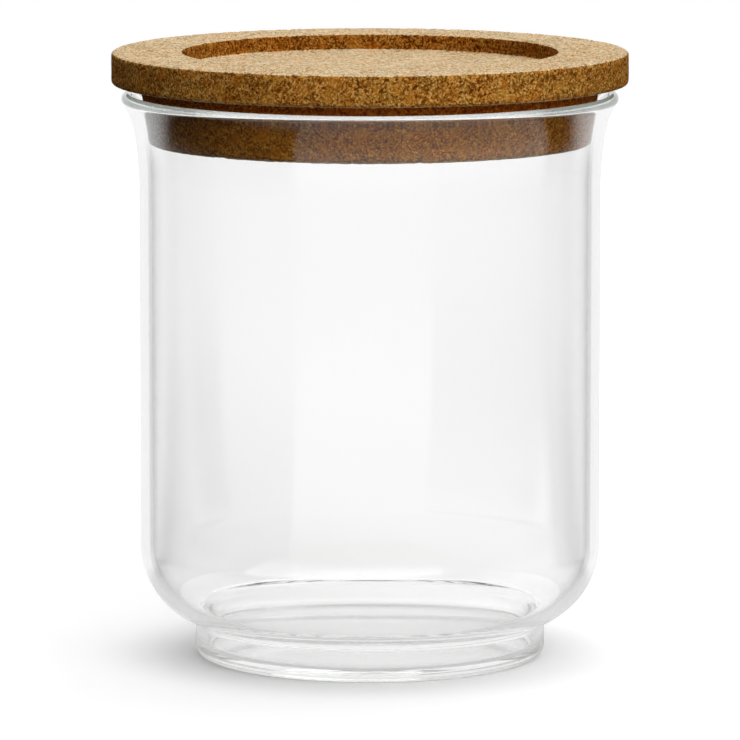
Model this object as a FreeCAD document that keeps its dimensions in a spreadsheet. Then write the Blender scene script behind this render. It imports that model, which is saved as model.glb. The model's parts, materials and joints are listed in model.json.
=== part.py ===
import FreeCAD
import Part
import Sketcher
import math
import os

# A one-litre storage jar: a body blown in one piece of clear glass, with a flared mouth, a rounded
# bowl and a drawn-in foot, closed by a lid turned from one block of granulated cork.
# The origin is on the table under the middle of the foot, and +Z is up. Lengths are in millimetres.

GLASS_SIZES = [
    ("jar_height", 134.3, "table to the top of the glass rim"),
    ("body_radius", 54.5, "outside of the straight wall"),
    ("wall", 2.8, "thickness of the blown wall"),
    ("foot_radius", 41.5, "outside of the foot"),
    ("foot_height", 7.3, "table to the top of the foot's upright wall"),
    ("foot_round", 2.5, "outer round under the foot"),
    ("rest_width", 3.0, "ring of the foot that touches the table"),
    ("base_lift", 1.2, "rise of the base inside that ring"),
    ("base_thickness", 2.7, "glass under the contents"),
    ("floor_round", 1.8, "inner corner of the base"),
    ("waist_round", 1.6, "hollow between foot and bowl"),
    ("bowl_radius", 19.3, "outside of the rounded bowl"),
    ("flare_radius", 86.0, "outside of the long sweep below the rim"),
    ("flare_angle", 8.5, "lean of the wall at the end of that sweep, degrees"),
    ("lip_radius", 22.5, "outside of the short curl of the lip"),
    ("lip_angle", 31.0, "lean of the lip at its end, degrees"),
]

CORK_SIZES = [
    ("flange_radius", 61.0, "outside of the lid"),
    ("flange_thickness", 7.6, "height of the lid's rim"),
    ("flange_gap", 2.1, "glass rim to the underside of the lid"),
    ("plug_depth", 13.6, "plug below the underside of the lid"),
    ("plug_clearance", 0.25, "radial room between plug and mouth where the plug wedges"),
    ("stack_clearance", 2.7, "radial room for the foot of a jar that stands on the lid"),
    ("recess_depth", 3.8, "depth of that seat in the lid's top"),
    ("flange_round", 0.9, "worn outer edges of the lid"),
    ("recess_round", 0.6, "top edge and floor corner of the seat"),
    ("plug_round", 2.0, "lower edge of the plug"),
]

# Where the lid's plug meets the mouth: the inner wall at the end of the long sweep
DERIVED_SIZES = [
    ("seat_radius", "=body_radius + flare_radius - (flare_radius + wall) * cos(flare_angle)"),
    ("seat_depth", "=flange_gap + wall * (1 + sin(lip_angle)) / 2 - wall * sin(flare_angle)"
                   " + lip_radius * (sin(lip_angle) - sin(flare_angle))"),
    ("plug_top_radius", "=seat_radius - plug_clearance + seat_depth * tan(flare_angle)"),
    ("plug_tip_radius", "=plug_top_radius - plug_depth * tan(flare_angle)"),
    ("recess_radius", "=foot_radius + stack_clearance"),
]

MATCH_SHARE = 1e-6
CUBIC_MM_IN_CM3 = 1000

# How a sketch numbers the ends of its lines, its axes and its origin
START, END, CENTRE = range(1, 4)
X_AXIS, Z_AXIS = range(-1, -3, -1)
ORIGIN = (X_AXIS, START)


def make_sheet(doc):
    sheet = doc.addObject("Spreadsheet::Sheet", "sizes")
    row = 0
    for name, value, meaning in GLASS_SIZES + CORK_SIZES:
        row += 1
        sheet.set(f"A{row}", name)
        sheet.set(f"B{row}", str(value))
        sheet.set(f"C{row}", meaning)
        sheet.setAlias(f"B{row}", name)
    for name, formula in DERIVED_SIZES:
        row += 1
        sheet.set(f"A{row}", name)
        sheet.set(f"B{row}", formula)
        sheet.setAlias(f"B{row}", name)
    doc.recompute()
    return sheet


def make_section(body, name):
    sketch = body.newObject("Sketcher::SketchObject", name)
    plane = next(part for part in body.Origin.OriginFeatures if part.Role == "XZ_Plane")
    sketch.AttachmentSupport = (plane, [""])
    sketch.MapMode = "FlatFace"
    return sketch


def line(sketch, start, end):
    return sketch.addGeometry(Part.LineSegment(FreeCAD.Vector(*start, 0), FreeCAD.Vector(*end, 0)))


def arc(sketch, centre, radius, first, last):
    circle = Part.Circle(FreeCAD.Vector(*centre, 0), FreeCAD.Vector(0, 0, 1), radius)
    return sketch.addGeometry(Part.ArcOfCircle(circle, math.radians(first), math.radians(last)))


def relate(sketch, kind, *places):
    sketch.addConstraint(Sketcher.Constraint(kind, *places))


def drive(sketch, formula, kind, *places):
    value = sketch.evalExpression(formula)
    index = sketch.addConstraint(Sketcher.Constraint(kind, *places, getattr(value, "Value", value)))
    sketch.setExpression(f"Constraints[{index}]", formula)


def turn(body, sketch, name):
    solid = body.newObject("PartDesign::Revolution", name)
    solid.Profile = sketch
    solid.ReferenceAxis = (sketch, ["V_Axis"])
    solid.Angle = 360
    body.Document.recompute()
    return solid


def ring_edges(shape, rings):
    tolerance = shape.BoundBox.DiagonalLength * MATCH_SHARE
    names = []
    for radius, height in rings:
        for number, edge in enumerate(shape.Edges, 1):
            if not isinstance(edge.Curve, Part.Circle):
                continue
            same_radius = abs(edge.Curve.Radius - radius) < tolerance
            if same_radius and abs(edge.Curve.Center.z - height) < tolerance:
                names.append(f"Edge{number}")
    return names


def round_rings(body, base, name, size, rings):
    names = ring_edges(base.Shape, rings)
    if len(names) != len(rings):
        raise RuntimeError(f"{name}: {len(names)} of {len(rings)} edges found")
    fillet = body.newObject("PartDesign::Fillet", name)
    fillet.Base = (base, names)
    fillet.setExpression("Radius", f"sizes.{size}")
    body.Document.recompute()
    return fillet


# The glass: one closed section of even wall, turned about the axis.
# The inner arcs share the outer arcs' centres, so the one wall size sets the whole inside.
def make_glass(doc, sheet):
    body = doc.addObject("PartDesign::Body", "glass_jar")
    body.Label = "glass_jar"
    sketch = make_section(body, "WallSection")

    wall = sheet.wall
    flare = math.radians(sheet.flare_angle)
    lip_lean = math.radians(sheet.lip_angle)

    # Corners and centres of the section as it starts, before its constraints hold it
    rest_outer = sheet.foot_radius - sheet.foot_round
    rest_inner = rest_outer - sheet.rest_width
    dome_radius = (rest_inner ** 2 + sheet.base_lift ** 2) / (2 * sheet.base_lift)
    dome_centre = (0, sheet.base_lift - dome_radius)
    dome_edge = math.degrees(math.acos(rest_inner / dome_radius))
    foot_centre = (rest_outer, sheet.foot_round)
    waist_centre = (sheet.foot_radius + sheet.waist_round, sheet.foot_height)
    bowl_across = waist_centre[0] - (sheet.body_radius - sheet.bowl_radius)
    bowl_reach = sheet.bowl_radius + sheet.waist_round
    bowl_lean = math.degrees(math.acos(bowl_across / bowl_reach))
    bowl_centre = (sheet.body_radius - sheet.bowl_radius,
                   sheet.foot_height + math.sqrt(bowl_reach ** 2 - bowl_across ** 2))
    sweep_end = 180 - sheet.flare_angle
    lip_end = 180 - sheet.lip_angle
    rim_height = sheet.jar_height - wall / 2
    lip_height = rim_height - (sheet.lip_radius + wall / 2) * math.sin(lip_lean)
    flare_height = lip_height - (sheet.flare_radius - sheet.lip_radius) * math.sin(flare)
    flare_centre = (sheet.body_radius + sheet.flare_radius, flare_height)
    lip_centre = (flare_centre[0] - (sheet.flare_radius - sheet.lip_radius) * math.cos(flare), lip_height)
    rim_centre = (lip_centre[0] - (sheet.lip_radius + wall / 2) * math.cos(lip_lean), rim_height)
    inner_radius = sheet.body_radius - wall
    inner_foot = sheet.foot_radius - wall
    floor_radius = dome_radius + sheet.base_thickness
    corner_across = inner_foot - sheet.floor_round
    corner_reach = floor_radius + sheet.floor_round
    corner_rise = math.sqrt(corner_reach ** 2 - corner_across ** 2)
    corner_centre = (corner_across, dome_centre[1] + corner_rise)
    corner_lean = math.degrees(math.atan2(corner_rise, corner_across))

    # Outside, from the middle of the base up to the lip
    dome = arc(sketch, dome_centre, dome_radius, dome_edge, 90)
    rest = line(sketch, (rest_inner, 0), (rest_outer, 0))
    foot = arc(sketch, foot_centre, sheet.foot_round, -90, 0)
    foot_wall = line(sketch, (sheet.foot_radius, sheet.foot_round), (sheet.foot_radius, sheet.foot_height))
    waist = arc(sketch, waist_centre, sheet.waist_round, 180 - bowl_lean, 180)
    bowl = arc(sketch, bowl_centre, sheet.bowl_radius, -bowl_lean, 0)
    side = line(sketch, (sheet.body_radius, bowl_centre[1]), (sheet.body_radius, flare_height))
    sweep = arc(sketch, flare_centre, sheet.flare_radius, sweep_end, 180)
    lip = arc(sketch, lip_centre, sheet.lip_radius, lip_end, sweep_end)
    rim = arc(sketch, rim_centre, wall / 2, lip_end - 180, lip_end)

    # Inside, from the lip down to the floor
    inner_lip = arc(sketch, lip_centre, sheet.lip_radius + wall, lip_end, sweep_end)
    inner_sweep = arc(sketch, flare_centre, sheet.flare_radius + wall, sweep_end, 180)
    inner_side = line(sketch, (inner_radius, flare_height), (inner_radius, bowl_centre[1]))
    inner_bowl = arc(sketch, bowl_centre, sheet.bowl_radius - wall, -bowl_lean, 0)
    inner_waist = arc(sketch, waist_centre, sheet.waist_round + wall, 180 - bowl_lean, 180)
    inner_foot_wall = line(sketch, (inner_foot, sheet.foot_height), (inner_foot, corner_centre[1]))
    corner = arc(sketch, corner_centre, sheet.floor_round, -180 + corner_lean, 0)
    floor = arc(sketch, dome_centre, floor_radius, corner_lean, 90)
    axis = line(sketch, (0, sheet.base_lift + sheet.base_thickness), (0, sheet.base_lift))

    # The outline runs smoothly from piece to piece, apart from the dome's edge and the axis
    for first, first_end, second, second_end in (
        (rest, END, foot, START),
        (foot, END, foot_wall, START),
        (foot_wall, END, waist, END),
        (waist, START, bowl, START),
        (bowl, END, side, START),
        (side, END, sweep, END),
        (sweep, START, lip, END),
        (lip, START, rim, START),
        (rim, END, inner_lip, START),
        (inner_lip, END, inner_sweep, START),
        (inner_sweep, END, inner_side, START),
        (inner_side, END, inner_bowl, END),
        (inner_bowl, START, inner_waist, START),
        (inner_waist, END, inner_foot_wall, START),
        (inner_foot_wall, END, corner, END),
        (corner, START, floor, START),
    ):
        relate(sketch, "Tangent", first, first_end, second, second_end)
    relate(sketch, "Coincident", dome, START, rest, START)
    relate(sketch, "Coincident", floor, END, axis, START)
    relate(sketch, "Coincident", axis, END, dome, END)
    for inner, outer in (
        (inner_lip, lip),
        (inner_sweep, sweep),
        (inner_bowl, bowl),
        (inner_waist, waist),
        (floor, dome),
    ):
        relate(sketch, "Coincident", inner, CENTRE, outer, CENTRE)
    for upright in (foot_wall, side, inner_side, inner_foot_wall, axis):
        relate(sketch, "Vertical", upright)
    relate(sketch, "Horizontal", rest)
    relate(sketch, "PointOnObject", rest, START, X_AXIS)
    relate(sketch, "PointOnObject", dome, END, Z_AXIS)
    relate(sketch, "PointOnObject", dome, CENTRE, Z_AXIS)

    drive(sketch, "sizes.rest_width", "DistanceX", rest, START, rest, END)
    drive(sketch, "sizes.base_lift", "DistanceY", *ORIGIN, dome, END)
    drive(sketch, "sizes.base_thickness", "DistanceY", axis, END, axis, START)
    drive(sketch, "sizes.foot_radius", "DistanceX", *ORIGIN, foot_wall, START)
    drive(sketch, "sizes.foot_height", "DistanceY", *ORIGIN, foot_wall, END)
    drive(sketch, "sizes.body_radius", "DistanceX", *ORIGIN, side, START)
    drive(sketch, "sizes.body_radius - sizes.wall", "DistanceX", *ORIGIN, inner_side, START)
    drive(sketch, "sizes.jar_height - sizes.wall / 2", "DistanceY", *ORIGIN, rim, CENTRE)
    drive(sketch, "sizes.foot_round", "Radius", foot)
    drive(sketch, "sizes.waist_round", "Radius", waist)
    drive(sketch, "sizes.bowl_radius", "Radius", bowl)
    drive(sketch, "sizes.flare_radius", "Radius", sweep)
    drive(sketch, "sizes.lip_radius", "Radius", lip)
    drive(sketch, "sizes.floor_round", "Radius", corner)
    drive(sketch, "sizes.flare_angle * 1 deg", "Angle", sweep)
    drive(sketch, "(sizes.lip_angle - sizes.flare_angle) * 1 deg", "Angle", lip)

    turn(body, sketch, "BlownWall")
    return body


# The lid: flange, tapered plug and stacking seat in one block of cork.
# Its own zero is the underside of the flange, which stands clear of the glass rim.
def make_lid(doc, sheet):
    body = doc.addObject("PartDesign::Body", "cork_lid")
    body.Label = "cork_lid"
    sketch = make_section(body, "LidSection")

    recess_floor = sheet.flange_thickness - sheet.recess_depth
    corners = [
        (0, -sheet.plug_depth),
        (sheet.plug_tip_radius, -sheet.plug_depth),
        (sheet.plug_top_radius, 0),
        (sheet.flange_radius, 0),
        (sheet.flange_radius, sheet.flange_thickness),
        (sheet.recess_radius, sheet.flange_thickness),
        (sheet.recess_radius, recess_floor),
        (0, recess_floor),
    ]
    sides = [line(sketch, first, second) for first, second in zip(corners, corners[1:] + corners[:1])]
    tip, taper, underside, edge, top, recess_wall, recess_base, axis = sides

    for first, second in zip(sides, sides[1:] + sides[:1]):
        relate(sketch, "Coincident", first, END, second, START)
    for level in (tip, underside, top, recess_base):
        relate(sketch, "Horizontal", level)
    for upright in (edge, recess_wall, axis):
        relate(sketch, "Vertical", upright)
    relate(sketch, "PointOnObject", axis, START, Z_AXIS)
    relate(sketch, "PointOnObject", underside, START, X_AXIS)

    drive(sketch, "sizes.plug_depth", "DistanceY", taper, START, taper, END)
    drive(sketch, "sizes.plug_tip_radius", "DistanceX", *ORIGIN, taper, START)
    drive(sketch, "sizes.plug_top_radius", "DistanceX", *ORIGIN, taper, END)
    drive(sketch, "sizes.flange_radius", "DistanceX", *ORIGIN, edge, START)
    drive(sketch, "sizes.flange_thickness", "DistanceY", edge, START, edge, END)
    drive(sketch, "sizes.recess_radius", "DistanceX", *ORIGIN, recess_wall, START)
    drive(sketch, "sizes.recess_depth", "DistanceY", recess_wall, END, recess_wall, START)

    block = turn(body, sketch, "TurnedBlock")
    tip_ring = [corners[1]]
    flange_rings = corners[3:5]
    recess_rings = corners[5:7]
    worn_tip = round_rings(body, block, "PlugRound", "plug_round", tip_ring)
    worn_flange = round_rings(body, worn_tip, "FlangeRound", "flange_round", flange_rings)
    round_rings(body, worn_flange, "RecessRound", "recess_round", recess_rings)
    body.setExpression("Placement.Base.z", "sizes.jar_height + sizes.flange_gap")
    return body


def check(doc, parts):
    doc.recompute()
    for item in doc.Objects:
        if "Invalid" in item.State or "Error" in item.State:
            raise RuntimeError(f"{item.Label} did not compute: {item.State}")
    for part in parts:
        if part.Shape.isNull() or not part.Shape.isValid() or len(part.Shape.Solids) != 1:
            raise RuntimeError(f"{part.Label} is not one valid solid")


def main():
    doc = FreeCAD.newDocument("StorageJar")
    sheet = make_sheet(doc)
    parts = [make_glass(doc, sheet), make_lid(doc, sheet)]
    check(doc, parts)
    os.makedirs("parts", exist_ok=True)
    for part in parts:
        part.Shape.exportStep(f"parts/{part.Label}.step")
        box = part.Shape.optimalBoundingBox(False)
        volume = part.Shape.Volume / CUBIC_MM_IN_CM3
        heights = f"z {box.ZMin:.2f} to {box.ZMax:.2f} mm"
        print(f"{part.Label}: {box.XLength:.2f} mm across, {heights}, {volume:.1f} cm3")


main()
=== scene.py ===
import bpy
import json
import math
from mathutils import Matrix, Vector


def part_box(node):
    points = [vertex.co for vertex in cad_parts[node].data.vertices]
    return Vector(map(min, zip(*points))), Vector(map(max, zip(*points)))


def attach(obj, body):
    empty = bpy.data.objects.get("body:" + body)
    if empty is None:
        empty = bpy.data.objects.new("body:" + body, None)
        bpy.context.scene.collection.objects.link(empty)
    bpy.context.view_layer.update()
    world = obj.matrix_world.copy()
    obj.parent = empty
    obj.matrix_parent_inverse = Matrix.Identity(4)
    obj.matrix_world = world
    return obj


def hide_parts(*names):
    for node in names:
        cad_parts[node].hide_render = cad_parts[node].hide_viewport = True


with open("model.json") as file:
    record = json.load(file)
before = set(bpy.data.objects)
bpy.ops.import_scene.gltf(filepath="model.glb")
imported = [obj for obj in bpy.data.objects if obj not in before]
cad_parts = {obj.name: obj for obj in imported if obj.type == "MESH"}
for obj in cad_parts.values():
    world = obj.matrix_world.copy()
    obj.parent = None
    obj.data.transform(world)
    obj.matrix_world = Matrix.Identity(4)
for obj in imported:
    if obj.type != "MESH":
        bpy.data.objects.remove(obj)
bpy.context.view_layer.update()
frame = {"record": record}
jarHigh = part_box("glass_jar")[1]
lidLow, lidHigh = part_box("cork_lid")
mountRadius = {mount["name"]: mount["dims"]["r_mm"] / 1000
               for mount in frame["record"]["mounts"] if "r_mm" in mount["dims"]}
samePoint = 1e-7        # metres: points of a section this close are one point
mergeDistance = 1e-6    # metres: turned points this close are merged
print("stage: CAD frame loaded")


# Sections are lists of (distance from the axis, height), in metres, and angles are in degrees
def arcPoints(centre, radius, startAngle, endAngle, steps):
    points = []
    for step in range(steps + 1):
        angle = math.radians(startAngle + (endAngle - startAngle) * step / steps)
        points.append((centre[0] + radius * math.cos(angle), centre[1] + radius * math.sin(angle)))
    return points


def linePoints(start, end, steps):
    points = []
    for step in range(steps + 1):
        share = step / steps
        points.append((start[0] + (end[0] - start[0]) * share, start[1] + (end[1] - start[1]) * share))
    return points


def joinRuns(*runs):
    section = []
    for run in runs:
        for point in run:
            if not section or math.dist(section[-1], point) > samePoint:
                section.append(point)
    return section


# A small plane is merged to one vertex, drawn out along the section and turned about the axis
def turnSection(name, section, segments):
    bpy.ops.object.select_all(action="DESELECT")
    bpy.ops.mesh.primitive_plane_add(size=0.01, location=(0, 0, 0))
    piece = bpy.context.object
    piece.name = name
    piece.data.name = name
    bpy.ops.object.mode_set(mode="EDIT")
    bpy.ops.mesh.merge(type="CENTER")
    bpy.ops.transform.translate(value=(section[0][0], 0, section[0][1]))
    for before, after in zip(section, section[1:]):
        step = (after[0] - before[0], 0, after[1] - before[1])
        bpy.ops.mesh.extrude_region_move(TRANSFORM_OT_translate={"value": step})
    bpy.ops.object.mode_set(mode="OBJECT")
    screw = piece.modifiers.new("turning", "SCREW")
    screw.axis = "Z"
    screw.angle = math.tau
    screw.steps = segments
    screw.render_steps = segments
    screw.use_merge_vertices = True
    screw.merge_threshold = mergeDistance
    bpy.ops.object.modifier_apply(modifier=screw.name)
    bpy.ops.object.mode_set(mode="EDIT")
    bpy.ops.mesh.select_all(action="SELECT")
    bpy.ops.mesh.remove_doubles(threshold=mergeDistance)
    bpy.ops.mesh.normals_make_consistent(inside=False)
    bpy.ops.object.mode_set(mode="OBJECT")
    bpy.ops.object.shade_smooth()
    return piece


# Leaves the piece in edit mode with only the faces that pass the test selected
def selectFaces(piece, belongs):
    bpy.ops.object.mode_set(mode="EDIT")
    bpy.ops.mesh.select_all(action="DESELECT")
    bpy.ops.object.mode_set(mode="OBJECT")
    for face in piece.data.polygons:
        face.select = belongs(face)
    bpy.ops.object.mode_set(mode="EDIT")


# Nodes: a socket's value is a plain value or another node's output
def put(tree, kind, sockets=None, **settings):
    made = tree.nodes.new(kind if kind.startswith("NodeGroup") else "ShaderNode" + kind)
    for name, value in settings.items():
        setattr(made, name, value)
    for key, value in (sockets or {}).items():
        if isinstance(value, bpy.types.NodeSocket):
            tree.links.new(value, made.inputs[key])
        else:
            made.inputs[key].default_value = value
    return made


def calc(tree, operation, first, second=0.0, clamp=False):
    return put(tree, "Math", {0: first, 1: second}, operation=operation, use_clamp=clamp).outputs[0]


def mixValue(tree, factor, first, second):
    return put(tree, "Mix", {0: factor, 2: first, 3: second}, data_type="FLOAT").outputs[0]


def mixColour(tree, factor, first, second, blend="MIX"):
    return put(tree, "Mix", {0: factor, 6: first, 7: second}, data_type="RGBA", blend_type=blend).outputs[2]


def mapRange(tree, value, low, high, toLow=0.0, toHigh=1.0):
    return put(tree, "MapRange", {0: value, 1: low, 2: high, 3: toLow, 4: toHigh},
               interpolation_type="SMOOTHSTEP").outputs[0]


def ramp(tree, factor, stops):
    made = put(tree, "ValToRGB", {0: factor})
    points = made.color_ramp.elements
    while len(points) < len(stops):
        points.new(1.0)
    for point, (place, colour) in zip(points, stops):
        point.position = place
        point.color = colour
    return made.outputs[0]


def grey(level):
    return (level, level, level, 1)


def newMaterial(name):
    material = bpy.data.materials.new(name)
    material.use_nodes = True
    material.node_tree.nodes.clear()
    return material, material.node_tree


# Glass jar: one blown wall, from the middle of the base up to the lip and back down inside
glassJar = {
    "bodyRadius": 0.0545, "wall": 0.0028, "footHeight": 0.0073, "footRound": 0.0025,
    "restWidth": 0.003, "baseLift": 0.0012, "baseThickness": 0.0027, "floorRound": 0.0018,
    "waistRound": 0.0016, "bowlRadius": 0.0193, "flareRadius": 0.086, "flareAngle": 8.5,
    "lipRadius": 0.0225, "lipAngle": 31, "segments": 256, "insideTilt": 0.75,
    "steps": {"dome": 14, "rest": 3, "foot": 12, "waist": 16, "bowl": 40, "wall": 6, "flare": 14,
              "lip": 14, "rim": 16, "innerWaist": 22, "corner": 12, "floor": 16},
}


def jarSection(size):
    wall = size["wall"]
    footRadius = mountRadius["foot"]
    restOuter = footRadius - size["footRound"]
    restInner = restOuter - size["restWidth"]
    domeRadius = (restInner ** 2 + size["baseLift"] ** 2) / (2 * size["baseLift"])
    domeCentre = (0, size["baseLift"] - domeRadius)
    domeEdge = math.degrees(math.acos(restInner / domeRadius))
    footCentre = (restOuter, size["footRound"])
    waistCentre = (footRadius + size["waistRound"], size["footHeight"])
    bowlAcross = waistCentre[0] - (size["bodyRadius"] - size["bowlRadius"])
    bowlReach = size["bowlRadius"] + size["waistRound"]
    bowlLean = math.degrees(math.acos(bowlAcross / bowlReach))
    bowlCentre = (size["bodyRadius"] - size["bowlRadius"],
                  size["footHeight"] + math.sqrt(bowlReach ** 2 - bowlAcross ** 2))
    flare = math.radians(size["flareAngle"])
    lipLean = math.radians(size["lipAngle"])
    rimHeight = jarHigh.z - wall / 2
    lipHeight = rimHeight - (size["lipRadius"] + wall / 2) * math.sin(lipLean)
    flareHeight = lipHeight - (size["flareRadius"] - size["lipRadius"]) * math.sin(flare)
    flareCentre = (size["bodyRadius"] + size["flareRadius"], flareHeight)
    lipCentre = (flareCentre[0] - (size["flareRadius"] - size["lipRadius"]) * math.cos(flare), lipHeight)
    rimCentre = (lipCentre[0] - (size["lipRadius"] + wall / 2) * math.cos(lipLean), rimHeight)
    innerFoot = footRadius - wall
    floorRadius = domeRadius + size["baseThickness"]
    cornerAcross = innerFoot - size["floorRound"]
    cornerRise = math.sqrt((floorRadius + size["floorRound"]) ** 2 - cornerAcross ** 2)
    cornerCentre = (cornerAcross, domeCentre[1] + cornerRise)
    cornerLean = math.degrees(math.atan2(cornerRise, cornerAcross))
    sweepEnd = 180 - size["flareAngle"]
    lipEnd = 180 - size["lipAngle"]
    innerRadius = size["bodyRadius"] - wall
    steps = size["steps"]
    return joinRuns(
        arcPoints(domeCentre, domeRadius, 90, domeEdge, steps["dome"]),
        linePoints((restInner, 0), (restOuter, 0), steps["rest"]),
        arcPoints(footCentre, size["footRound"], -90, 0, steps["foot"]),
        arcPoints(waistCentre, size["waistRound"], 180, 180 - bowlLean, steps["waist"]),
        arcPoints(bowlCentre, size["bowlRadius"], -bowlLean, 0, steps["bowl"]),
        linePoints((size["bodyRadius"], bowlCentre[1]), (size["bodyRadius"], flareHeight), steps["wall"]),
        arcPoints(flareCentre, size["flareRadius"], 180, sweepEnd, steps["flare"]),
        arcPoints(lipCentre, size["lipRadius"], sweepEnd, lipEnd, steps["lip"]),
        arcPoints(rimCentre, wall / 2, lipEnd - 180, lipEnd, steps["rim"]),
        arcPoints(lipCentre, size["lipRadius"] + wall, lipEnd, sweepEnd, steps["lip"]),
        arcPoints(flareCentre, size["flareRadius"] + wall, sweepEnd, 180, steps["flare"]),
        linePoints((innerRadius, flareHeight), (innerRadius, bowlCentre[1]), steps["wall"]),
        arcPoints(bowlCentre, size["bowlRadius"] - wall, 0, -bowlLean, steps["bowl"]),
        arcPoints(waistCentre, size["waistRound"] + wall, 180 - bowlLean, 180, steps["innerWaist"]),
        arcPoints(cornerCentre, size["floorRound"], 0, -180 + cornerLean, steps["corner"]),
        arcPoints(domeCentre, floorRadius, cornerLean, 90, steps["floor"]),
    )


# Painted shade: the wall's colour darkens the flatter a ray meets it, which draws the dark inner outline.
# Shades run from square on (0) to grazing (1), and the shadow from the table (0) to the rim (1).
glassLook = {
    "insideEdgeShade": [(0.0, grey(0.98)), (0.37, grey(0.95)), (0.515, grey(0.87)), (0.68, grey(0.75)),
                   (0.77, grey(0.58)), (0.85, grey(0.38)), (0.92, grey(0.2)), (1.0, grey(0.03))],
    "outsideEdgeShade": [(0.0, grey(1.0)), (0.62, grey(0.96)), (0.67, grey(0.62)), (0.712, grey(0.42)),
                    (0.735, grey(0.92)), (1.0, grey(0.92))],
    "edgeShadeTop": (0.116, 0.128), "edgeShadeFoot": (0.016, 0.030), "edgeShadeBowl": (0.012, 0.030), "bowlShare": 0.65,
    "footShade": grey(0.9), "footShadeTop": (0.002, 0.0045),
    "shadowByHeight": [(0.0, grey(0.15)), (0.05, grey(0.68)), (0.12, grey(0.89)), (0.22, grey(0.94)),
                       (0.84, grey(0.96)), (0.91, grey(0.6))],
    "green": (0.80, 0.93, 0.86, 1), "greenDensity": 0.7, "bending": 1.5,
    "waves": {"Scale": 1 / 0.035, "Detail": 1.0}, "waveStrength": 0.3, "waveDepth": 0.000006,
    "smudge": {"Scale": 60.0, "Detail": 4.0}, "smudgeFrom": (0.5, 0.8), "smudgeRoughness": 0.01,
}


def makeGlass(look):
    material, tree = newMaterial("clearGlass")
    place = put(tree, "TexCoord").outputs["Object"]
    height = put(tree, "SeparateXYZ", {0: place}).outputs["Z"]
    waves = put(tree, "TexNoise", {"Vector": place, **look["waves"]}).outputs[0]
    smudge = put(tree, "TexNoise", {"Vector": place, **look["smudge"]}).outputs[0]
    bump = put(tree, "Bump", {
        "Height": waves, "Strength": look["waveStrength"], "Distance": look["waveDepth"]}).outputs[0]
    inside = put(tree, "Attribute", attribute_name="insideWall").outputs["Fac"]
    # Painted shade: the wall's colour darkens by facing, inside and out, which draws its dark outlines
    facing = put(tree, "LayerWeight", {"Blend": 0.5}).outputs["Facing"]
    below = mapRange(tree, height, *look["edgeShadeTop"], 1.0, 0.0)
    upright = calc(tree, "MULTIPLY", below, mapRange(tree, height, *look["edgeShadeFoot"]))
    # Painted shade: the outside of the foot is darker right by the table
    foot = mixColour(tree, mapRange(tree, height, *look["footShadeTop"]), look["footShade"], grey(1.0))
    outer = mixColour(tree, upright, foot, ramp(tree, facing, look["outsideEdgeShade"]))
    upper = calc(tree, "MULTIPLY", below, mapRange(tree, height, *look["edgeShadeBowl"], look["bowlShare"], 1.0))
    inner = mixColour(tree, upper, grey(1.0), ramp(tree, facing, look["insideEdgeShade"]))
    colour = mixColour(tree, inside, outer, inner)
    glass = put(tree, "BsdfPrincipled", {
        "Base Color": colour, "IOR": look["bending"], "Transmission Weight": 1.0, "Normal": bump,
        "Roughness": mapRange(tree, smudge, *look["smudgeFrom"], 0.0, look["smudgeRoughness"])})
    shadow = put(tree, "BsdfTransparent", {
        "Color": ramp(tree, calc(tree, "DIVIDE", height, jarHigh.z), look["shadowByHeight"])})
    path = put(tree, "LightPath")
    surface = put(tree, "MixShader", {
        0: path.outputs["Is Shadow Ray"], 1: glass.outputs[0], 2: shadow.outputs[0]})
    depth = put(tree, "VolumeAbsorption", {"Color": look["green"], "Density": look["greenDensity"]})
    put(tree, "OutputMaterial", {"Surface": surface.outputs[0], "Volume": depth.outputs[0]})
    return material


# Faces that look at the axis and aren't nearly level, above the base
def isInsideWall(face):
    outward = face.center.x * face.normal.x + face.center.y * face.normal.y
    steep = abs(face.normal.z) < glassJar["insideTilt"]
    return outward < 0 and steep and face.center.z > glassJar["baseThickness"]


def buildJar():
    jar = turnSection("glassJar", jarSection(glassJar), glassJar["segments"])
    jar.data.materials.append(makeGlass(glassLook))
    bpy.ops.geometry.attribute_add(name="insideWall", domain="FACE", data_type="FLOAT")
    selectFaces(jar, isInsideWall)
    jar.data.attributes.active = jar.data.attributes["insideWall"]
    bpy.ops.mesh.attribute_set(value_float=1.0)
    bpy.ops.object.mode_set(mode="OBJECT")
    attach(jar, "jar")
    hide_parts("glass_jar")
    print("stage: glass jar", len(jar.data.polygons), "faces")


# Cork lid: flange, tapered plug and stacking seat turned from one block
corkLid = {
    "flangeThickness": 0.0076, "flangeGap": 0.0021, "plugClearance": 0.00025,
    "recessDepth": 0.0038, "flangeRound": 0.0009, "recessRound": 0.0006, "plugRound": 0.002,
    "segments": 720, "turnedTilt": 0.7, "wornFrom": 0.036,
    "steps": {"tip": 18, "round": 4, "plug": 16, "under": 7, "side": 10, "top": 18,
              "recessWall": 5, "recessFloor": 34},
    "grain": {"size": 0.0008, "depth": 0.00012, "low": 0.3, "high": 0.7},
    "pits": {"size": 0.0017, "depth": 0.00025, "low": 0.2, "high": 0.42},
}


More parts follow.
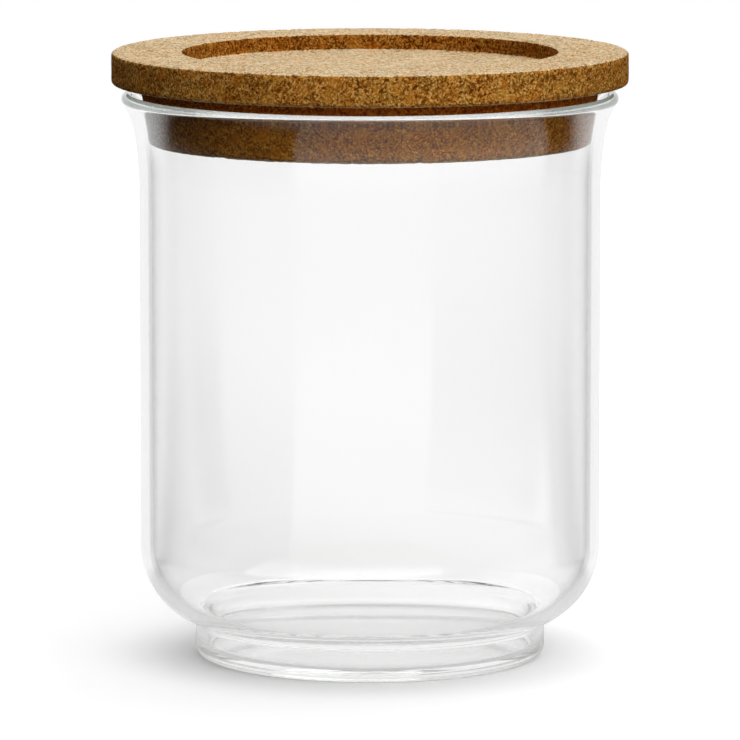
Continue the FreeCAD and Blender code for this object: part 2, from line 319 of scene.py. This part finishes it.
def lidSection(size, jar):
    top = lidHigh.z
    under = top - size["flangeThickness"]
    tip = lidLow.z
    outer = lidHigh.x
    recess = mountRadius["stacking_seat"]
    floor = top - size["recessDepth"]
    edge = size["flangeRound"]
    corner = size["recessRound"]
    plugEdge = size["plugRound"]

    # The plug wedges in the mouth where the long sweep of the inner wall ends
    flare = math.radians(jar["flareAngle"])
    lipLean = math.radians(jar["lipAngle"])
    seatRadius = (jar["bodyRadius"] + jar["flareRadius"]
                  - (jar["flareRadius"] + jar["wall"]) * math.cos(flare))
    seatDepth = (size["flangeGap"] + jar["wall"] * (1 + math.sin(lipLean)) / 2
                 - jar["wall"] * math.sin(flare)
                 + jar["lipRadius"] * (math.sin(lipLean) - math.sin(flare)))
    plugTop = seatRadius - size["plugClearance"] + seatDepth * math.tan(flare)
    plugTip = plugTop - (under - tip) * math.tan(flare)
    tipCentre = (plugTip - plugEdge * math.tan(math.pi / 4 - flare / 2), tip + plugEdge)
    taperStart = (tipCentre[0] + plugEdge * math.cos(flare), tipCentre[1] - plugEdge * math.sin(flare))
    steps = size["steps"]
    return joinRuns(
        linePoints((0, tip), (tipCentre[0], tip), steps["tip"]),
        arcPoints(tipCentre, plugEdge, -90, -jar["flareAngle"], steps["round"]),
        linePoints(taperStart, (plugTop, under), steps["plug"]),
        linePoints((plugTop, under), (outer - edge, under), steps["under"]),
        arcPoints((outer - edge, under + edge), edge, -90, 0, steps["round"]),
        linePoints((outer, under + edge), (outer, top - edge), steps["side"]),
        arcPoints((outer - edge, top - edge), edge, 0, 90, steps["round"]),
        linePoints((outer - edge, top), (recess + corner, top), steps["top"]),
        arcPoints((recess + corner, top - corner), corner, 90, 180, steps["round"]),
        linePoints((recess, top - corner), (recess, floor + corner), steps["recessWall"]),
        arcPoints((recess - corner, floor + corner), corner, 0, -90, steps["round"]),
        linePoints((recess - corner, floor), (0, floor), steps["recessFloor"]),
    )


# Colours run from the darkest grains to the palest. Flat faces take a paler, lit copy of the cork and steep
# turned faces a
# darker, shaded copy: partly their finish, partly painted light. The turned faces also carry painted shade
# in the recess, on the plug and on its neck between the flange and the glass.
sandedLitCork = {
    "colours": [(0.10, (0.27, 0.145, 0.052, 1)), (0.30, (0.50, 0.325, 0.15, 1)),
                (0.52, (0.695, 0.507, 0.275, 1)), (0.90, (0.84, 0.675, 0.435, 1))],
    "seam": (0.33, 0.18, 0.07, 1), "seamShade": 0.35, "roughness": (0.55, 0.75), "gloss": 0.1,
    "relief": 0.35, "contrast": 1.6,
}
turnedShadedCork = {
    "colours": [(0.14, (0.09, 0.030, 0.003, 1)), (0.36, (0.26, 0.090, 0.009, 1)),
                (0.58, (0.51, 0.205, 0.028, 1)), (0.90, (0.80, 0.45, 0.12, 1))],
    "seam": (0.08, 0.026, 0.003, 1), "seamShade": 0.5, "roughness": (0.6, 0.85), "gloss": 0.01,
    "relief": 0.6, "contrast": 1.12, "recessPaintedShade": (0.72, 0.6, 0.45, 1),
    "plugPaintedShade": (1.1, 1.02, 0.68, 1), "neckPaintedShade": (1.3, 0.8, 0.5, 1),
}

# The pattern of both finishes, with granules, crumbs and clouds in millimetres.
# Tones are sums of a granule's tone, its grain, the crumbs and a base value.
corkPattern = {
    "coarse": {"Size": 2.8, "Warp": 0.9}, "fine": {"Size": 0.5, "Warp": 1.0},
    "swirlDetail": 2.0, "seamWidth": 0.12, "grainStretch": (1.0, 0.3, 1.0),
    "grain": {"Scale": 2.2, "Detail": 3.0, "Roughness": 0.6},
    "crumbs": {"Scale": 3.2, "Detail": 3.0, "Roughness": 0.7},
    "clouds": {"Scale": 0.08, "Detail": 2.0}, "cloudDepth": 0.25,
    "wholePick": (0.84, 0.90), "wholeShare": 0.65,
    "crumbled": {"tone": 0.45, "grain": 1.8, "crumbs": 1.1, "base": -1.18},
    "whole": {"tone": 0.16, "grain": 0.7, "crumbs": 0.6, "base": -0.2},
    "middle": 0.48, "plugContrast": 0.65, "seamDepth": 0.5, "reliefDepth": 0.00025,
    "hues": ((1.05, 0.97, 0.9, 1), (0.95, 1.03, 1.1, 1)),
    "plugBlend": 0.0003, "neckBlend": 0.001, "recessBlend": (0.0005, 0.001),
}


# Granules of one size: their tone, the grain that runs inside each of them, their seams, and a pick of some
def makeGranules(pattern):
    tree = bpy.data.node_groups.new("corkGranules", "ShaderNodeTree")
    face = tree.interface
    face.new_socket("Place", in_out="INPUT", socket_type="NodeSocketVector")
    face.new_socket("Size", in_out="INPUT", socket_type="NodeSocketFloat")
    face.new_socket("Warp", in_out="INPUT", socket_type="NodeSocketFloat")
    for name in ("Tone", "Grain", "Seam", "Pick"):
        face.new_socket(name, in_out="OUTPUT", socket_type="NodeSocketFloat")
    given = put(tree, "NodeGroupInput").outputs
    scale = calc(tree, "DIVIDE", 1.0, given["Size"])
    swirl = put(tree, "TexNoise", {
        "Vector": given["Place"], "Scale": scale, "Detail": pattern["swirlDetail"]}).outputs["Color"]
    swirl = put(tree, "VectorMath", {0: swirl, 1: (0.5, 0.5, 0.5)}, operation="SUBTRACT").outputs[0]
    reach = calc(tree, "MULTIPLY", given["Size"], given["Warp"])
    swirl = put(tree, "VectorMath", {0: swirl, "Scale": reach}, operation="SCALE").outputs[0]
    place = put(tree, "VectorMath", {0: given["Place"], 1: swirl}, operation="ADD").outputs[0]
    cells = put(tree, "TexVoronoi", {"Vector": place, "Scale": scale})
    edges = put(tree, "TexVoronoi", {"Vector": place, "Scale": scale}, feature="DISTANCE_TO_EDGE")
    random = put(tree, "SeparateColor", {0: cells.outputs["Color"]}).outputs
    turned = put(tree, "VectorMath", {0: cells.outputs["Color"], "Scale": math.tau},
                 operation="SCALE").outputs[0]
    along = put(tree, "VectorRotate", {"Vector": given["Place"], "Rotation": turned},
                rotation_type="EULER_XYZ").outputs[0]
    along = put(tree, "Mapping", {"Vector": along, "Scale": pattern["grainStretch"]}).outputs[0]
    grain = put(tree, "TexNoise", {"Vector": along, **pattern["grain"]}).outputs[0]
    seam = mapRange(tree, edges.outputs["Distance"], 0.0, pattern["seamWidth"], 1.0, 0.0)
    put(tree, "NodeGroupOutput", {"Tone": random[0], "Grain": grain, "Seam": seam, "Pick": random[1]})
    return tree


def makeCork(name, look, pattern, granules):
    material, tree = newMaterial(name)
    inMetres = put(tree, "TexCoord").outputs["Object"]
    place = put(tree, "Mapping", {"Vector": inMetres, "Scale": (1000, 1000, 1000)}).outputs[0]
    level = put(tree, "SeparateXYZ", {0: inMetres}).outputs["Z"]
    under = lidHigh.z - corkLid["flangeThickness"]
    onPlug = mapRange(tree, level, under - pattern["plugBlend"], under, 1.0, 0.0)
    coarse = put(tree, "Group", {"Place": place, **pattern["coarse"]}, node_tree=granules).outputs
    fine = put(tree, "Group", {"Place": place, **pattern["fine"]}, node_tree=granules).outputs
    crumbs = put(tree, "TexNoise", {"Vector": place, **pattern["crumbs"]}).outputs[0]
    clouds = put(tree, "TexNoise", {"Vector": place, **pattern["clouds"]}).outputs[0]

    def addUp(weights, granule):
        total = weights["base"]
        for kind, part in (("tone", granule), ("grain", coarse["Grain"]), ("crumbs", crumbs)):
            total = calc(tree, "ADD", total, calc(tree, "MULTIPLY", part, weights[kind]))
        return total

    # Most of the cork is crumbled into small granules, and a few coarse ones are left whole
    whole = mapRange(tree, coarse["Pick"], *pattern["wholePick"], 0.0, pattern["wholeShare"])
    tone = mixValue(tree, whole, addUp(pattern["crumbled"], fine["Tone"]),
                    addUp(pattern["whole"], coarse["Tone"]))
    # Painted shade: the plug's grain is flattened, as it lies in the flange's shade behind the glass
    contrast = mixValue(tree, onPlug, look["contrast"], look["contrast"] * pattern["plugContrast"])
    tone = calc(tree, "MULTIPLY", calc(tree, "SUBTRACT", tone, pattern["middle"]), contrast)
    drift = calc(tree, "MULTIPLY", calc(tree, "SUBTRACT", clouds, 0.5), pattern["cloudDepth"])
    tone = calc(tree, "ADD", calc(tree, "ADD", tone, pattern["middle"]), drift)
    seam = mixValue(tree, whole, fine["Seam"], 0.0)
    colour = ramp(tree, tone, look["colours"])
    colour = mixColour(tree, calc(tree, "MULTIPLY", seam, look["seamShade"]), colour, look["seam"])
    hue = mixColour(tree, coarse["Tone"], *pattern["hues"])
    colour = mixColour(tree, 1.0, colour, hue, blend="MULTIPLY")

    # Painted shade: darker in the recess, and darker and redder on the plug and its neck under the flange
    if "plugPaintedShade" in look:
        flat = put(tree, "VectorMath", {0: inMetres, 1: (1, 1, 0)}, operation="MULTIPLY").outputs[0]
        across = put(tree, "VectorMath", {0: flat}, operation="LENGTH").outputs["Value"]
        start, end = (mountRadius["stacking_seat"] + room for room in pattern["recessBlend"])
        inRecess = mapRange(tree, across, start, end, 1.0, 0.0)
        onNeck = mapRange(tree, level, jarHigh.z - pattern["neckBlend"], jarHigh.z)
        plugPaintedShade = mixColour(tree, onNeck, look["plugPaintedShade"], look["neckPaintedShade"])
        shade = mixColour(tree, inRecess, grey(1.0), look["recessPaintedShade"])
        shade = mixColour(tree, onPlug, shade, plugPaintedShade)
        colour = mixColour(tree, 1.0, colour, shade, blend="MULTIPLY")

    height = calc(tree, "SUBTRACT", tone, calc(tree, "MULTIPLY", seam, pattern["seamDepth"]))
    bump = put(tree, "Bump", {
        "Height": height, "Strength": look["relief"], "Distance": pattern["reliefDepth"]}).outputs[0]
    low, high = look["roughness"]
    cork = put(tree, "BsdfPrincipled", {
        "Base Color": colour, "Roughness": mapRange(tree, tone, 0.0, 1.0, high, low),
        "Specular IOR Level": look["gloss"], "Normal": bump})
    put(tree, "OutputMaterial", {"Surface": cork.outputs[0]})
    return material


def isTurnedFace(face):
    return abs(face.normal.z) < corkLid["turnedTilt"]


def isWorn(face):
    return math.hypot(face.center.x, face.center.y) > corkLid["wornFrom"]


# Worn cork: the surface is only ever pressed in, never raised
def pressIn(piece, name, wear):
    pattern = bpy.data.textures.new(name, "CLOUDS")
    pattern.noise_scale = wear["size"]
    pattern.use_color_ramp = True
    low, high = pattern.color_ramp.elements
    low.position, low.color = wear["low"], grey(0.0)
    high.position, high.color = wear["high"], grey(1.0)
    press = piece.modifiers.new(name, "DISPLACE")
    press.texture = pattern
    press.texture_coords = "LOCAL"
    press.vertex_group = "worn"
    press.mid_level = 1.0
    press.strength = wear["depth"]
    bpy.ops.object.modifier_apply(modifier=press.name)


def buildLid():
    lid = turnSection("corkLid", lidSection(corkLid, glassJar), corkLid["segments"])
    granules = makeGranules(corkPattern)
    lid.data.materials.append(makeCork("sandedLitCork", sandedLitCork, corkPattern, granules))
    lid.data.materials.append(makeCork("turnedShadedCork", turnedShadedCork, corkPattern, granules))
    # Steep faces get the darker, shaded copy of the cork: partly the turned finish, partly painted light
    selectFaces(lid, isTurnedFace)
    lid.active_material_index = 1
    bpy.ops.object.material_slot_assign()
    bpy.ops.object.mode_set(mode="OBJECT")
    selectFaces(lid, isWorn)
    bpy.ops.object.vertex_group_add()
    lid.vertex_groups.active.name = "worn"
    bpy.ops.object.vertex_group_assign()
    bpy.ops.object.mode_set(mode="OBJECT")
    pressIn(lid, "corkGrain", corkLid["grain"])
    pressIn(lid, "corkPits", corkLid["pits"])
    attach(lid, "lid")
    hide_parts("cork_lid")
    print("stage: cork lid", len(lid.data.polygons), "faces")


# Light: a white sheet behind, a softbox to the front right and one lamp overhead. The softbox lights
# the object over one sector (shine) and shows in the glass over a wider one (mirror): both are left end,
# right end and half of each soft end, in degrees from the front. Rises are the height of a way of length 1.
studio = {
    "shine": (-12, 62, 8), "mirror": (-36, 94.5, 1.5), "sheetFrom": 118, "sheetEdge": 8,
    "softboxRise": (0.1, 0.45), "ceilingRise": (0.6, 0.85),
    "light": {"dim": 0.02, "sheet": 0.1, "softboxLow": 0.35, "softboxHigh": 4.2, "ceiling": 0.3},
    "mirrored": {"dim": 0.42, "sheet": 0.95, "softboxLow": 0.5, "softboxHigh": 0.5, "ceiling": 0.2},
    "rimLight": 3.0, "rimLightTurn": (150, 175), "rimLightRise": (0.12, 0.3),
}


# The turn of a place or a way about the axis, in degrees from the front towards the right
def turnOf(tree, place):
    parts = put(tree, "SeparateXYZ", {0: place}).outputs
    turned = calc(tree, "ARCTAN2", parts["X"], calc(tree, "MULTIPLY", parts["Y"], -1.0))
    return calc(tree, "DEGREES", turned)


def softboxSector(tree, place, limits):
    turned = turnOf(tree, place)
    left, right, edge = limits
    return calc(tree, "MULTIPLY", mapRange(tree, turned, left - edge, left + edge),
                mapRange(tree, turned, right - edge, right + edge, 1.0, 0.0))


def sheetSector(tree, place):
    turned = calc(tree, "ABSOLUTE", turnOf(tree, place))
    start, edge = studio["sheetFrom"], studio["sheetEdge"]
    return mapRange(tree, turned, start - edge, start + edge)


# Two kinds of light that reach the eye: what is seen through the glass, and what one reflection in it shows.
# Light that the cork and the floor gather is neither.
def seenLight(tree, path):
    direct = calc(tree, "SUBTRACT", 1.0, path["Diffuse Depth"], clamp=True)
    once = calc(tree, "MULTIPLY", calc(tree, "GREATER_THAN", path["Glossy Depth"], 0.5),
                calc(tree, "LESS_THAN", path["Glossy Depth"], 1.5))
    mirrored = calc(tree, "MULTIPLY", direct, once)
    through = calc(tree, "MULTIPLY", path["Is Transmission Ray"],
                   calc(tree, "SUBTRACT", direct, mirrored))
    return through, mirrored


# Floor: a round pale table top that looks white where nothing shades it and fades out far away.
# In mirror reflections it shows the sectors of the light, and it throws little light back up.
# Its glow dims around the foot into a painted contact shadow. Pairs are distances from the axis, in metres,
# or the glow at their two ends.
tableTop = {
    "radius": 1.4, "segments": 128, "fade": (1.05, 1.38), "white": grey(0.8),
    "mirrorShade": grey(0.02), "bounceShade": (grey(0.08), grey(0.4)),
    "contact": (0.040, 0.068), "contactShadowGlow": (0.19, 0.38),      # seen directly
    "through": (0.1, 0.45), "throughGlow": (0.34, 0.28),         # seen through the glass
    "under": (0.044, 0.068), "underGlow": (0.27, 0.0),
    "ring": (0.12, 0.16, 0.30, 0.75), "ringSoftbox": (0.18, 0.36), "ringSoftboxGlow": (0.5, 0.85),
    "softboxGlow": 0.6, "dimGlow": (0.45, 0.0), "sheetGlow": 0.88,
    "foot": (0.08, 0.12), "footGlow": 0.6,
}


def buildFloor():
    bpy.ops.object.select_all(action="DESELECT")
    bpy.ops.mesh.primitive_circle_add(vertices=tableTop["segments"], radius=tableTop["radius"],
                                      fill_type="NGON", location=(0, 0, 0))
    floor = bpy.context.object
    floor.name = "paleFloor"
    material, tree = newMaterial("paleFloor")
    path = put(tree, "LightPath").outputs
    place = put(tree, "TexCoord").outputs["Object"]
    through, mirrored = seenLight(tree, path)
    away = put(tree, "VectorMath", {0: place}, operation="LENGTH").outputs["Value"]
    # Painted contact shadow: the glow the eye sees dims close to the foot
    contactShadowGlow = mapRange(tree, away, *tableTop["contact"], *tableTop["contactShadowGlow"])
    glow = calc(tree, "MULTIPLY", path["Is Camera Ray"], contactShadowGlow)
    # Painted light: the floor seen through the glass glows brighter near and under the jar, over its shadow
    throughGlow = calc(tree, "ADD", mapRange(tree, away, *tableTop["through"], *tableTop["throughGlow"]),
                       mapRange(tree, away, *tableTop["under"], *tableTop["underGlow"]))
    glow = calc(tree, "ADD", glow, calc(tree, "MULTIPLY", through, throughGlow))

    # The mouth's flare and the lower wall mirror a ring of the floor, and the upper wall what lies beyond it
    innerStart, innerEnd, outerStart, outerEnd = tableTop["ring"]
    ring = calc(tree, "MULTIPLY", mapRange(tree, away, innerStart, innerEnd),
                mapRange(tree, away, outerStart, outerEnd, 1.0, 0.0))
    ringSoftbox = mapRange(tree, away, *tableTop["ringSoftbox"], *tableTop["ringSoftboxGlow"])
    softbox = mixValue(tree, ring, tableTop["softboxGlow"], ringSoftbox)
    sector = mixValue(tree, ring, *tableTop["dimGlow"])
    sector = mixValue(tree, sheetSector(tree, place), sector, tableTop["sheetGlow"])
    sector = mixValue(tree, softboxSector(tree, place, studio["mirror"]), sector, softbox)
    sector = mixValue(tree, mapRange(tree, away, *tableTop["foot"]), tableTop["footGlow"], sector)
    glow = calc(tree, "ADD", glow, calc(tree, "MULTIPLY", mirrored, sector))
    shade = mixColour(tree, mirrored, tableTop["white"], tableTop["mirrorShade"])
    # Painted light: the floor throws more light back up in the softbox's sector, a painted pool of light
    bounce = mixColour(tree, softboxSector(tree, place, studio["shine"]), *tableTop["bounceShade"])
    shade = mixColour(tree, calc(tree, "MINIMUM", path["Diffuse Depth"], 1.0), shade, bounce)
    paper = put(tree, "BsdfDiffuse", {"Color": shade}).outputs[0]
    light = put(tree, "Emission", {"Strength": glow}).outputs[0]
    lit = put(tree, "AddShader", {0: paper, 1: light}).outputs[0]
    below = put(tree, "NewGeometry").outputs["Backfacing"]
    gone = calc(tree, "MAXIMUM", below, mapRange(tree, away, *tableTop["fade"]))
    clear = put(tree, "BsdfTransparent").outputs[0]
    surface = put(tree, "MixShader", {0: gone, 1: lit, 2: clear}).outputs[0]
    put(tree, "OutputMaterial", {"Surface": surface})
    floor.data.materials.append(material)
    print("stage: floor")


def buildWorld():
    world = bpy.data.worlds.new("whiteStudio")
    bpy.context.scene.world = world
    world.use_nodes = True
    tree = world.node_tree
    tree.nodes.clear()
    way = put(tree, "TexCoord").outputs["Generated"]
    rise = put(tree, "SeparateXYZ", {0: way}).outputs["Z"]
    path = put(tree, "LightPath").outputs
    through, mirrored = seenLight(tree, path)

    def roomLevel(levels, limits):
        level = mixValue(tree, sheetSector(tree, way), levels["dim"], levels["sheet"])
        softbox = mapRange(tree, rise, *studio["softboxRise"], levels["softboxLow"], levels["softboxHigh"])
        level = mixValue(tree, softboxSector(tree, way, limits), level, softbox)
        return mixValue(tree, mapRange(tree, rise, *studio["ceilingRise"]), level, levels["ceiling"])

    level = mixValue(tree, mirrored, roomLevel(studio["light"], studio["shine"]),
                     roomLevel(studio["mirrored"], studio["mirror"]))

    # The rim light shows only in the outside of the glass, and the eye sees white behind it all
    outside = calc(tree, "SUBTRACT", mirrored, path["Is Transmission Ray"], clamp=True)
    turned = calc(tree, "ABSOLUTE", turnOf(tree, way))
    rimLight = calc(tree, "MULTIPLY", mapRange(tree, rise, *studio["rimLightRise"]),
                    mapRange(tree, turned, *studio["rimLightTurn"], 1.0, 0.0))
    level = mixValue(tree, calc(tree, "MULTIPLY", outside, rimLight), level, studio["rimLight"])
    level = mixValue(tree, calc(tree, "MAXIMUM", path["Is Camera Ray"], through), level, 1.0)
    surface = put(tree, "Background", {"Color": grey(1.0), "Strength": level}).outputs[0]
    put(tree, "OutputWorld", {"Surface": surface})


topLamp = {"from": (0.15, 0.22, 1.0), "spread": 50, "strength": 1.2}


def buildLamp():
    bpy.ops.object.light_add(type="SUN", location=topLamp["from"])
    lamp = bpy.context.object
    lamp.name = "topLamp"
    lamp.data.angle = math.radians(topLamp["spread"])
    lamp.data.energy = topLamp["strength"]
    lamp.rotation_euler = (-lamp.location).to_track_quat("-Z", "Y").to_euler()
    print("stage: light")


# Camera: the photograph's own place, height and tilt
camera = {"distance": 1.6, "height": 0.2924, "tiltDown": 7.984, "sensorWidth": 36,
          "focalPixels": 6810, "imagePixels": 740}


def buildCamera():
    bpy.ops.object.camera_add(location=(0, -camera["distance"], camera["height"]),
                              rotation=(math.radians(90 - camera["tiltDown"]), 0, 0))
    eye = bpy.context.object
    eye.name = "photoCamera"
    eye.data.sensor_width = camera["sensorWidth"]
    eye.data.lens = camera["sensorWidth"] * camera["focalPixels"] / camera["imagePixels"]
    bpy.context.scene.camera = eye
    print("stage: camera")


buildJar()
buildLid()
buildFloor()
buildWorld()
buildLamp()
buildCamera()
bpy.context.scene.view_settings.view_transform = "Standard"
wallBounces = 400    # light runs down inside the glass wall by many bounces
lightPath = bpy.context.scene.cycles
lightPath.max_bounces = wallBounces
lightPath.transmission_bounces = wallBounces
lightPath.glossy_bounces = wallBounces
lightPath.transparent_max_bounces = 32
